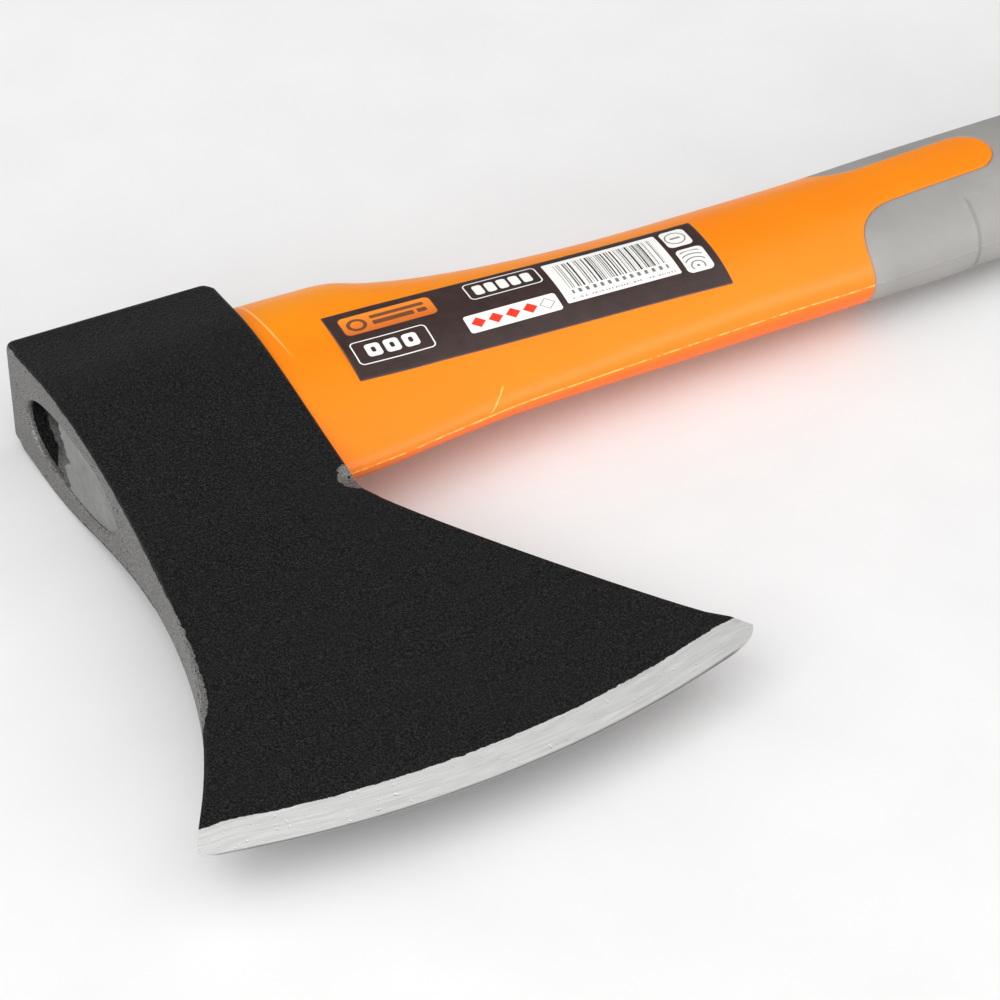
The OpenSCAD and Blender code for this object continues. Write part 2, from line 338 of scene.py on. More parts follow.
def head_thickness(xy, outline, radii):
    x, y = xy[:, 0], xy[:, 1]
    base = soft_min(cheek(y), ground(x, y), 0.14)
    base = np.maximum(base, 0.07)
    d, nearest = distances(xy, outline)
    r = np.minimum(radii[nearest], base * 0.85)
    sink = np.where(d < r, r - np.sqrt(np.maximum(r ** 2 - (r - d) ** 2, 0)), 0)
    return base - sink


def head_mesh():
    flat = head_grid()
    n_rows, n_cols = flat.shape[:2]
    xy = flat.reshape(-1, 2)
    loop = np.concatenate([
        np.arange(n_cols),
        np.arange(1, n_rows) * n_cols + n_cols - 1,
        (n_rows - 1) * n_cols + np.arange(n_cols - 2, -1, -1),
        np.arange(n_rows - 2, 0, -1) * n_cols,
    ])
    outline = np.vstack([xy[loop], xy[loop[:1]]])
    # Radius of the rounding along the outline: poll, heel side, edge, toe side
    on_poll = smooth((outline[:, 1] + 5) / 4)
    on_heel_side = (outline[:, 0] > 20) * smooth((outline[:, 1] + HEAD_DEPTH - 12) / 10)
    on_toe_side = (outline[:, 0] <= 20) * smooth((outline[:, 1] + HEAD_DEPTH - 12) / 10)
    radii = np.maximum(END_ROUND * on_toe_side + 1.1 * on_heel_side, 1.9 * on_poll)
    z = head_thickness(xy, outline, radii)
    dent = DENT[2] - np.sqrt(np.maximum(DENT_R ** 2 - ((xy - DENT[:2]) ** 2).sum(1), 0))
    z_up = np.where(((xy - DENT[:2]) ** 2).sum(1) < DENT_R ** 2, np.minimum(z, dent), z)

    top = np.column_stack([xy, z_up])
    under = np.column_stack([xy, -z])
    points = [top, under]
    count = len(xy)
    quads = grid_faces(n_rows, n_cols)
    faces = [quads, quads[:, ::-1] + count]

    # Wall between the two outlines
    steps = 8
    rings = [loop]
    for k in range(1, steps):
        share = k / steps
        rings.append(2 * count + (k - 1) * len(loop) + np.arange(len(loop)))
        points.append(top[loop] * (1 - share) + under[loop] * share)
    rings.append(loop + count)
    for upper, lower in zip(rings[:-1], rings[1:]):
        faces.append(np.column_stack([upper, np.roll(upper, -1), np.roll(lower, -1), lower]))
    return np.vstack(points), np.vstack(faces)


def eye_outline():
    count = 60
    wide_y = -POLL_WALL - 0.4 * EYE_DEPTH
    tip_y = -POLL_WALL - EYE_DEPTH
    half = np.vstack([
        bezier([[-POLL_WALL, 0], [-POLL_WALL, 0.68 * HALF_EYE], [-POLL_WALL - 6.8, HALF_EYE],
                [wide_y, HALF_EYE]], count),
        bezier([[wide_y, HALF_EYE], [wide_y - 12.5, HALF_EYE], [tip_y + 3.3, 0.9 * HALF_EYE],
                [tip_y, 0]], count)[1:],
    ])
    return np.vstack([half, (half * [1, -1])[-2:0:-1]])


EYE_MID_Y = -POLL_WALL - 0.45 * EYE_DEPTH


def eye_cutter():
    ring = eye_outline()
    centre = np.array([EYE_MID_Y, 0])
    out = ring - centre
    out = out / np.linalg.norm(out, axis=1)[:, None]
    rings = [(-3.0, 0.5), (0.0, 0.45), (0.2, 0.15), (0.5, 0.0), (1.0, 0.0), (1.8, 0.0), (EYE_LENGTH + 3, 0.0)]
    points = np.vstack([
        np.column_stack([np.full(len(ring), x), ring + grow * out]) for x, grow in rings
    ])
    n = len(ring)
    faces = [(k * n + i, k * n + (i + 1) % n, (k + 1) * n + (i + 1) % n, (k + 1) * n + i)
             for k in range(len(rings) - 1) for i in range(n)]
    faces += [tuple(range(n - 1, -1, -1)), tuple((len(rings) - 1) * n + i for i in range(n))]
    return make_mesh("eye_cutter", points, faces)


def head_marks(p):
    """Signed distance into bare steel and into the ground bevel, for each point, in millimetres."""
    left_x = np.interp(-p[:, 1], -toe_side[:, 1], toe_side[:, 0])
    half = cheek(p[:, 1]) - END_ROUND
    torn = -0.45 * hump(p[:, 1] + 66, 16)
    from_poll = poll_y(p[:, 0]) - END_ROUND - p[:, 1]
    end_face = np.minimum(half - np.abs(p[:, 2]), from_poll) - (p[:, 0] - left_x)
    end_face += torn - 6 * smooth((-104 - p[:, 1]) / 14)
    to_end = np.minimum(p[:, 0] + TOE_REACH, HEEL_REACH - p[:, 0])
    bevel = BEVEL_WIDTH - from_edge(p[:, 0], p[:, 1]) - 0.9 * smooth(1 - to_end / 9)
    dent = DENT_R - np.linalg.norm(p - DENT, axis=1) + 0.35
    in_eye = (p[:, 0] > 0.1) & (p[:, 1] < -POLL_WALL + 0.2) & (p[:, 1] > -POLL_WALL - EYE_DEPTH - 0.5)
    in_eye &= np.abs(p[:, 2]) < HALF_EYE + 0.5
    bare = np.maximum(np.maximum(end_face, bevel), dent)
    # Inside the eye, deeper than 1.2 mm, the wall takes the black paint: painted shade in the pocket
    bare = np.where(in_eye, np.where(p[:, 0] < 1.2, 0.6, -3), bare)
    return np.clip(bare, -3, 3), np.clip(bevel, -3, 9)


def build_head():
    points, faces = head_mesh()
    head = make_mesh("axe_head_forged", points, faces)
    cut(head, [eye_cutter()], 38)
    bare, bevel = head_marks(mesh_points(head))
    set_attribute(head, "bare", bare)
    set_attribute(head, "bevel", bevel)
    return head


# ---- Handle surface ----
# x, belly y, back y, half thickness, squareness of the back, lean, squareness of the belly
STATIONS = np.array([
    [41.8, -56.4, -2.2, 10.4, 3, 0.12, 2],
    [57, -55.8, -3.2, 10.3, 3, 0.12, 2],
    [66, -54.9, -4.5, 10.3, 3, 0.12, 2],
    [73, -54.3, -8, 10.3, 2.8, 0.11, 2],
    [84, -53.5, -12, 10.3, 2.7, 0.1, 2],
    [100, -53.5, -15.5, 10.3, 2.6, 0.08, 2.05],
    [120, -53.7, -18, 10.3, 2.5, 0.06, 2.2],
    [145, -54.2, -19.4, 10.5, 2.4, 0.04, 2.25],
    [166, -55.2, -20.5, 10.9, 2.35, 0.03, 2.1],
    [190, -55.4, -20.8, 11.3, 2.3, 0, 2.2],
    [228, -53.8, -22.2, 11.2, 2.3, 0, 2.3],
    [268, -52.4, -23.8, 10.8, 2.3, 0, 2.3],
    [296, -56.4, -24.6, 11, 2.3, 0, 2.3],
    [316, -62.4, -26.6, 11.3, 2.4, 0, 2.4],
    [HANDLE_END, -64.5, -30, 11.1, 2.5, 0, 2.5],
])
LEAN_BOW = 0.45


def station_slopes():
    s = STATIONS
    low = np.vstack([s[:1], s[:-1]])
    high = np.vstack([s[1:], s[-1:]])
    return (high - low) / (high[:, :1] - low[:, :1])


SLOPES = station_slopes()


def along(x, c):
    """Column c of the stations at x, on a smooth curve."""
    x = np.asarray(x, float)
    i = np.clip(np.searchsorted(STATIONS[:, 0], x, side="right") - 1, 0, len(STATIONS) - 2)
    h = STATIONS[i + 1, 0] - STATIONS[i, 0]
    t = (x - STATIONS[i, 0]) / h
    return ((2 * t ** 3 - 3 * t ** 2 + 1) * STATIONS[i, c] + (t ** 3 - 2 * t ** 2 + t) * h * SLOPES[i, c]
            + (3 * t ** 2 - 2 * t ** 3) * STATIONS[i + 1, c] + (t ** 3 - t ** 2) * h * SLOPES[i + 1, c])


def middle_y(x):
    return (along(x, 1) + along(x, 2)) / 2


def half_depth(x):
    return (along(x, 2) - along(x, 1)) / 2


def lean(x, v):
    return 1 + along(x, 5) * v * (1 - LEAN_BOW * v)


def squareness(x, v):
    """Power of the section's curve, on the belly for v below 0 and on the back above."""
    return np.where(v < 0, along(x, 6), along(x, 4))


def section_point(x, t, scale=1.0, inset=0.0):
    """Point of the handle at x and at angle t, from 0 at the belly to pi at the back.

    The section may be made smaller, and set in under the surface.
    """
    v = -np.cos(t)
    e = 2 / squareness(x, v)
    v = np.sign(v) * np.abs(v) ** e
    w = np.abs(np.sin(t)) ** e
    y = middle_y(x) + scale * (half_depth(x) - inset) * v
    z = scale * (along(x, 3) - inset) * w * lean(x, v)
    to_face = np.clip((50 - x) / (50 - EYE_LENGTH), 0, 1)
    return np.stack([x + FACE_SLOPE * y * to_face, y, z], -1)


TABLE_X = np.linspace(EYE_LENGTH, HANDLE_END, 600)
TABLE_Q = np.linspace(0, 1, 241)


def angle_table():
    """Angles at equal shares of the half girth, for each x."""
    t = np.linspace(0, np.pi, 721)
    ring = section_point(TABLE_X[:, None] + 0 * t, t[None] + 0 * TABLE_X[:, None])
    run = np.concatenate([np.zeros((len(TABLE_X), 1)),
                          np.cumsum(np.linalg.norm(np.diff(ring, axis=1), axis=2), 1)], 1)
    return np.array([np.interp(TABLE_Q * r[-1], r, t) for r in run])


ANGLES = angle_table()


def angle_at(x, q):
    """Angle on the section at x that lies at share q of the half girth."""
    fx = np.clip((np.asarray(x) - TABLE_X[0]) / (TABLE_X[-1] - TABLE_X[0]), 0, 1) * (len(TABLE_X) - 1)
    fq = np.clip(q, 0, 1) * (len(TABLE_Q) - 1)
    i = np.minimum(fx.astype(int), len(TABLE_X) - 2)
    j = np.minimum(fq.astype(int), len(TABLE_Q) - 2)
    a, b = fx - i, fq - j
    return ((1 - a) * (1 - b) * ANGLES[i, j] + a * (1 - b) * ANGLES[i + 1, j]
            + (1 - a) * b * ANGLES[i, j + 1] + a * b * ANGLES[i + 1, j + 1])


def share_at(x, y):
    """Share of the half girth at which the side of the handle passes y."""
    v = np.clip((y - middle_y(x)) / half_depth(x), -1, 1)
    n = squareness(x, v)
    t = np.arccos(-np.sign(v) * np.abs(v) ** (n / 2))
    i = np.clip(np.round((x - TABLE_X[0]) / (TABLE_X[1] - TABLE_X[0])).astype(int), 0, len(TABLE_X) - 1)
    return np.array([np.interp(a, ANGLES[k], TABLE_Q) for a, k in zip(t, i)])


# ---- Edge of the rubber, in the flattened plane of x and girth ----
FLAT = 45.0
TONGUE_Y = float(middle_y((GRIP_START + TONGUE_END) / 2)) + 1
ZONE = (158.0, 216.0)


def rubber_edge():
    low, high = TONGUE_Y - TONGUE_HALF, TONGUE_Y + TONGUE_HALF
    tip_x = TONGUE_END - TONGUE_HALF
    turn = np.linspace(-np.pi / 2, np.pi / 2, 40)
    side = np.vstack([
        [[GRIP_START + 1.8, -60]],
        bezier([[GRIP_START + 1.8, low - 14], [GRIP_START - 1.5, low - 7.6], [GRIP_START + 3, low],
                [GRIP_START + 12, low]], 50),
        np.column_stack([tip_x + TONGUE_HALF * np.cos(turn), TONGUE_Y + TONGUE_HALF * np.sin(turn)]),
        bezier([[GRIP_START + 13.5, high], [GRIP_START + 5, high], [GRIP_START + 2, high + 5.3],
                [GRIP_START + 3.5, high + 12.3]], 50),
        [[GRIP_START + 3.5, -15]],
    ])
    dense = []
    for a, b in zip(side[:-1], side[1:]):
        steps = max(2, int(np.linalg.norm(b - a) / 0.1))
        dense.append(a + (b - a) * np.linspace(0, 1, steps, endpoint=False)[:, None])
    side = np.vstack(dense + [side[-1:]])
    q = share_at(side[:, 0], side[:, 1])
    keep = (q > 0) & (q < 1)
    flat = np.column_stack([side[keep, 0], q[keep] * FLAT])
    flat = np.vstack([[flat[0, 0], 0], flat, [flat[-1, 0], FLAT]])
    run = np.concatenate([[0], np.cumsum(np.linalg.norm(np.diff(flat, axis=0), axis=1))])
    at = np.linspace(0, run[-1], int(run[-1] / 0.42))
    return np.column_stack([np.interp(at, run, flat[:, 0]), np.interp(at, run, flat[:, 1])])


GROOVES = [193.8 + 17.5 * k for k in range(5)]


def girth_columns():
    """Shares of the half girth at which the columns of the handle's mesh lie."""
    near = np.array([0, 0.09, 0.2, 0.34, 0.52, 0.8, 1.2, 1.8]) / FLAT
    middle = np.linspace(near[-1], 1 - near[-1], 56)[1:-1]
    return np.concatenate([near, middle, (1 - near)[::-1]])


def rows_between(start, end, step):
    """Places along x, closer together round each groove."""
    x, out = start, []
    while x < end - 1e-6:
        out.append(x)
        near = min(abs(x + step / 2 - g) for g in GROOVES)
        x += 0.2 if near < 1.6 else (0.45 if near < 3.5 else step)
    if end - out[-1] < 0.12:
        out.pop()
    return np.array(out + [end])


def inside(points, polygon):
    """Which points lie in a polygon."""
    a, b = polygon, np.roll(polygon, -1, axis=0)
    hits = np.zeros(len(points), bool)
    for start in range(0, len(points), 4000):
        p = points[start:start + 4000]
        spans = (a[None, :, 1] > p[:, None, 1]) != (b[None, :, 1] > p[:, None, 1])
        rise = np.where(np.abs(b[:, 1] - a[:, 1]) < 1e-12, 1e-12, b[:, 1] - a[:, 1])
        at = a[None, :, 0] + (p[:, None, 1] - a[None, :, 1]) * (b - a)[None, :, 0] / rise[None]
        hits[start:start + 4000] = ((spans & (p[:, None, 0] < at)).sum(1) % 2) == 1
    return hits


def offset_line(line, by):
    """A line set off sideways in the net, still from one side of the net to the other."""
    run = np.gradient(line, axis=0)
    side = np.column_stack([run[:, 1], -run[:, 0]])
    side /= np.linalg.norm(side, axis=1)[:, None]
    out = line + side * by
    out[0], out[-1] = line[0] + [by * np.sign(side[0, 0]), 0], line[-1] + [by * np.sign(side[-1, 0]), 0]
    out[0, 1], out[-1, 1] = 0, FLAT
    d, _ = distances(out, line)
    keep = d > abs(by) * 0.93
    keep[[0, -1]] = True
    keep &= (out[:, 1] > 0.08) & (out[:, 1] < FLAT - 0.08) | np.isin(np.arange(len(out)), [0, len(out) - 1])
    return out[keep]


SEAM_OFFSETS = (-0.6, -0.3, -0.13, 0.13, 0.3, 0.6)


def handle_net():
    """The side of the handle as a flat net of x against girth: points, faces and the rubber's edge."""
    columns = girth_columns() * FLAT
    turn = np.sin(np.radians([8, 16, 24, 32, 40, 48, 56, 63, 70, 76, 81, 85, 88.2]))
    front = rows_between(EYE_LENGTH, ZONE[0], 1.5)
    rear = np.concatenate([rows_between(ZONE[1], HANDLE_END - BUTT_ROUND, 1.6),
                           HANDLE_END - BUTT_ROUND + BUTT_ROUND * turn])
    points, faces, count = [], [], 0
    for rows in (front, rear):
        faces += (grid_faces(len(rows), len(columns)) + count).tolist()
        points.append(grid_points(rows, columns))
        count += len(points[-1])

    edge = rubber_edge()
    lines = [edge] + [offset_line(edge, by) for by in SEAM_OFFSETS]
    rows = rows_between(ZONE[0], ZONE[1], 1.1)
    grid = grid_points(rows, columns)
    near, _ = distances(grid, edge)
    border = (grid[:, 0] < ZONE[0] + 1e-6) | (grid[:, 0] > ZONE[1] - 1e-6)
    on_side = (grid[:, 1] < 1e-6) | (grid[:, 1] > FLAT - 1e-6)
    grid = grid[border | (near > np.where(on_side, 0.72, 0.85))]
    loops, pairs, at = [], [], len(grid)
    for line in lines:
        loops.append(line)
        pairs += [(at + k, at + k + 1) for k in range(len(line) - 1)]
        at += len(line)
    flat = np.vstack([grid] + loops)
    co, _, tris, *_ = delaunay_2d_cdt([Vector(p) for p in flat], pairs, [], 0, 1e-5)
    points.append(np.array([tuple(p) for p in co]))
    faces += [[i + count for i in t] for t in tris]

    every = np.vstack(points)
    key = np.round(every / 2e-4).astype(np.int64)
    _, first, back = np.unique(key, axis=0, return_index=True, return_inverse=True)
    back = back.ravel()
    merged = every[first]
    clean = []
    for f in faces:
        g = [int(back[i]) for i in f]
        if len(set(g)) == len(g):
            clean.append(g)
    region = np.vstack([edge, [[400, FLAT], [400, 0]]])
    return merged, clean, edge, region


def butt_scale(x):
    return np.sqrt(1 - np.clip((x - HANDLE_END + BUTT_ROUND) / BUTT_ROUND, 0, 0.9995) ** 2)


def skin(net, inset=0.0):
    """Points of the handle for points of the net, set in under its surface."""
    x, q = net[:, 0], net[:, 1] / FLAT
    over = np.maximum(x - (HANDLE_END - BUTT_ROUND), 0)
    x_in = x - over * inset / BUTT_ROUND
    points = section_point(x_in, angle_at(x, q), butt_scale(x_in), inset)
    points[(q < 1e-9) | (q > 1 - 1e-9), 2] = 0
    return points


def normals(points, faces):
    total = np.zeros_like(points)
    for size in (3, 4):
        f = np.array([g for g in faces if len(g) == size])
        if len(f):
            n = np.cross(points[f[:, 2]] - points[f[:, 0]], points[f[:, -1]] - points[f[:, 1]])
            if size == 3:
                n = np.cross(points[f[:, 1]] - points[f[:, 0]], points[f[:, 2]] - points[f[:, 0]])
            for k in range(size):
                np.add.at(total, f[:, k], n)
    total[np.abs(points[:, 2]) < 1e-9, 2] = 0
    return total / np.maximum(np.linalg.norm(total, axis=1), 1e-12)[:, None]


rng = np.random.default_rng(7)


def wander(x, step, reach):
    """A line that wanders up to about reach, with a new height every step."""
    knots = np.arange(0, HANDLE_END + 2 * step, step)
    return np.interp(x, knots, rng.uniform(-reach, reach, len(knots)))


def relief(net, edge, rubber):
    """How far the surface stands out of the plain form: seam, parting line, grooves and flash."""
    x, q = net[:, 0], net[:, 1] / FLAT
    seam, _ = distances(net, edge)
    out = np.where(rubber, -0.24 * np.clip(1 - seam / 0.55, 0, 1) ** 2, -0.10 * np.clip(1 - seam / 0.2, 0, 1))
    out = np.where(seam < 1e-3, -0.30, out)

    # Parting line: a thin torn ridge along the belly and the back
    from_line = np.minimum(q, 1 - q) * FLAT
    height = 0.10 + 0.07 * np.clip(wander(x, 0.9, 1.0), -0.6, 1) + 0.05 * np.clip(wander(x, 5.0, 1.0), 0, 1)
    out += height * hump(from_line, 0.13) * smooth((HANDLE_END - BUTT_ROUND - x) / 8)
    out += 0.28 * hump(from_line, 0.4) * hump(x - GRIP_START - 2.4, 0.7) * (q < 0.5)

    # Cross grooves of the grip, from side to side round the belly
    for groove in GROOVES:
        stop = share_at(np.array([groove]), np.array([-48.3 + 0.02 * (groove - 194)]))[0]
        across = smooth((stop - q) / 0.03)
        dx = x - groove
        behind = 0.12 * (dx > 0) * np.exp(-np.abs(dx) / 2.2)
        out += across * (-0.42 * hump(dx, 0.42) + 0.14 * hump(dx + 0.95, 0.4) - behind)

    # Flash where the plastic met the head
    out += (0.22 * hump(x - EYE_LENGTH - 0.7, 0.45) * smooth((q - 0.42) / 0.12)
            * (0.8 + 0.2 * wander(q * 200, 2.5, 1.0)))
    return out


def mirrored(faces, mate):
    return [[mate[i] for i in reversed(f)] for f in faces]


def build_piece(name, points, faces):
    """A mesh from only those points that its faces use."""
    used = sorted({i for f in faces for i in f})
    index = {old: new for new, old in enumerate(used)}
    return make_mesh(name, points[used], [[index[i] for i in f] for f in faces], 35)


def core_cutter():
    """The fibreglass core's form, a little longer than the core."""
    turn = np.linspace(-np.pi / 2, np.pi / 2, 24)
    half = np.column_stack([CORE_FLAT + CORE_HALF * np.cos(turn), CORE_HALF * np.sin(turn)])
    ring = np.vstack([half, half * [-1, -1]])
    c, s = math.cos(CORE_TILT), math.sin(CORE_TILT)
    middle = -POLL_WALL - EYE_DEPTH / 2 - 0.6
    points = [np.column_stack([x * c + ring[:, 0] * s, middle - x * s + ring[:, 0] * c, ring[:, 1]])
              for x in CORE_RUN]
    n = len(ring)
    faces = [(i, (i + 1) % n, n + (i + 1) % n, n + i) for i in range(n)]
    faces += [tuple(range(n - 1, -1, -1)), tuple(range(n, 2 * n))]
    return make_mesh("core_cutter", np.vstack(points), faces)


def build_handle():
    net, faces, edge, region = handle_net()
    centres = np.array([net[f].mean(0) for f in faces])
    is_rubber = inside(centres, region)
    in_rubber = inside(net, region)
    plain = skin(net)
    # Faces are turned so that they look outwards
    probe = normals(plain, faces)
    if np.median(probe[:, 2]) < 0:
        faces = [f[::-1] for f in faces]
        probe = -probe
    outer = plain + probe * relief(net, edge, in_rubber)[:, None]
    outer[np.abs(plain[:, 2]) < 1e-9, 2] = 0
    inner = skin(net, RUBBER)
    n = len(net)
    flat = (net[:, 1] < 1e-6) | (net[:, 1] > FLAT - 1e-6)
    flip = np.array([1, 1, -1])
    points = np.vstack([outer, inner, outer * flip, inner * flip])
    mate = np.where(flat, np.arange(n), np.arange(n) + 2 * n)
    mate = np.concatenate([mate, np.where(flat, np.arange(n) + n, np.arange(n) + 3 * n)])

    hard = [f for f, r in zip(faces, is_rubber) if not r]
    soft = [f for f, r in zip(faces, is_rubber) if r]
    soft_edges = {(f[k], f[(k + 1) % len(f)]) for f in soft for k in range(len(f))}
    shared = [(f[k], f[(k + 1) % len(f)]) for f in hard for k in range(len(f))
              if (f[(k + 1) % len(f)], f[k]) in soft_edges]
    # Walls from the outer to the inner surface, along the rubber's edge
    hard_wall = [[b, a, a + n, b + n] for a, b in shared]
    soft_wall = [f[::-1] for f in hard_wall]
    under = [[i + n for i in f] for f in soft]

    def ring(x, shift):
        row = np.where(np.abs(net[:, 0] - x) < 1e-3)[0]
        row = row[np.argsort(net[row, 1])] + shift
        return [int(i) for i in row] + [int(mate[i]) for i in row[::-1] if mate[i] != i]

    front_cap = ring(net[:, 0].min(), 0)
    butt = net[:, 0].max()
    butt_cap, inner_cap = ring(butt, 0), ring(butt, n)

    def closed(parts, ends):
        return parts + mirrored(parts, mate) + ends

    def turned(cap, towards):
        """A cap whose face looks along +X or -X."""
        p = points[cap]
        area = 0.5 * np.sum(p[:, 1] * np.roll(p[:, 2], -1) - np.roll(p[:, 1], -1) * p[:, 2])
        return cap if (area > 0) == (towards > 0) else cap[::-1]

    hard_ends = [turned(front_cap, -1), turned(inner_cap, 1)]
    soft_ends = [turned(butt_cap, 1), turned(inner_cap, -1)]
    soft_under = [f[::-1] for f in under]
    jacket = build_piece("handle_jacket_moulded", points, closed(hard + hard_wall + under, hard_ends))
    rubber = build_piece("rubber_grip_moulded", points, closed(soft + soft_wall + soft_under, soft_ends))

    hole = (HOLE_X, float(middle_y(HOLE_X)))
    deep = 13.0
    lip = [(0.01, -deep), (RING_R + 1.3, -deep), (RING_R + 1.3, -11.7), (RING_R + 0.55, -10.9),
           (RING_R + 0.12, -10.3), (RING_R, -9.9)]
    profile = lip + [(r, -z) for r, z in lip[::-1]]
    cut(rubber, [make_mesh("lip_cutter", *lathe(profile, 96, hole))], 35)
    pocket = [(0.01, -deep), (RING_R - 0.02, -deep), (RING_R - 0.02, deep), (0.01, deep)]
    cut(jacket, [make_mesh("hole_cutter", *lathe(pocket, 96, hole)), core_cutter()], 35)
    half = [(HOLE_R, 0.0), (HOLE_R, RING_HALF - 1.0), (HOLE_R + 0.3, RING_HALF - 0.35),
            (HOLE_R + 1.0, RING_HALF), (RING_R - 0.55, RING_HALF), (RING_R - 0.16, RING_HALF - 0.16),
            (RING_R - 0.02, RING_HALF - 0.55)]
    ring_profile = half + [(r, -z) for r, z in half[:0:-1]]
    eyelet = make_mesh("hang_eyelet", *lathe(ring_profile, 96, hole))
    bpy.ops.object.select_all(action="DESELECT")
    for obj in (jacket, eyelet):
        obj.select_set(True)
    bpy.context.view_layer.objects.active = jacket
    bpy.ops.object.join()
    return jacket, rubber


# ---- Label ----
LABEL_MIDDLE = np.array([96.9, -35.3])
LABEL_SIZE = np.array([81.4, 20.0])
LABEL_TURN = math.radians(-5.3)
LABEL_CORNER = 0.4
LABEL_FILM = 0.2


def side_z(x, y):
    v = np.clip((y - middle_y(x)) / half_depth(x), -1, 1)
    n = squareness(x, v)
    return along(x, 3) * (1 - np.abs(v) ** n) ** (1 / n) * lean(x, v)


def build_label():
    def spread(length, count):
        """Places along one side, closer together near its ends."""
        near = np.array([0, 0.25, 0.6, 1.1])
        middle = np.linspace(0, 1, count)[1:-1] * (length - 2 * near[-1]) + near[-1]
        return np.concatenate([near, middle, length - near[::-1]])

    u, v = spread(LABEL_SIZE[0], 60), spread(LABEL_SIZE[1], 26)
    grid = grid_points(u, v) - LABEL_SIZE / 2
    # The corners are rounded
    beyond = np.clip((np.abs(grid) - (LABEL_SIZE / 2 - LABEL_CORNER)) / LABEL_CORNER, 0, 1)
    shrink = beyond * np.sqrt(1 - beyond[:, ::-1] ** 2 / 2)
    grid = np.where(beyond > 0, np.sign(grid) * (LABEL_SIZE / 2 - LABEL_CORNER + shrink * LABEL_CORNER), grid)
    c, s = math.cos(LABEL_TURN), math.sin(LABEL_TURN)
    x = LABEL_MIDDLE[0] + grid[:, 0] * c - grid[:, 1] * s
    y = LABEL_MIDDLE[1] + grid[:, 0] * s + grid[:, 1] * c
    z = side_z(x, y)
    edge = np.min(LABEL_SIZE / 2 - np.abs(grid), axis=1)
    lift = LABEL_FILM * smooth(0.35 + edge / 0.35)
    # The film stands a little off the plastic at one end
    lift += 0.22 * smooth((2.5 - (grid[:, 0] + LABEL_SIZE[0] / 2)) / 2.5) * hump(grid[:, 1] + 2.5, 4.0)
    over = np.column_stack([x, y, z + lift])
    under = np.column_stack([x, y, z + 0.01])
    count = len(grid)
    quads, rim = grid_faces(len(u), len(v)), grid_rim(len(u), len(v))
    wall = np.column_stack([np.roll(rim, -1), rim, rim + count, np.roll(rim, -1) + count])
    faces = np.vstack([quads, quads[:, ::-1] + count, wall])
    label = make_mesh("side_label_printed", np.vstack([over, under]), faces, 50)
    layer = label.data.uv_layers.new(name="label_plane")
    index = np.zeros(len(label.data.loops), int)
    label.data.loops.foreach_get("vertex_index", index)
    uv = np.vstack([grid, grid])[index] + LABEL_SIZE / 2
    layer.data.foreach_set("uv", (uv * MM * 10).astype(np.float32).ravel())
    return label


# ---- Resin in the eye ----
RECESS = 0.4


def smooth_noise(y, z, cell, seed):
    """Value noise from -1 to 1 over the eye's opening."""
    source = np.random.default_rng(seed)
    table = source.uniform(-1, 1, (200, 200))
    gy, gz = (y + 60) / cell, (z + 20) / cell
    i, j = np.floor(gy).astype(int), np.floor(gz).astype(int)
    a, b = smooth(gy - i), smooth(gz - j)
    i, j = i % 199, j % 199
    return ((1 - a) * (1 - b) * table[i, j] + a * (1 - b) * table[i + 1, j]
            + (1 - a) * b * table[i, j + 1] + a * b * table[i + 1, j + 1])


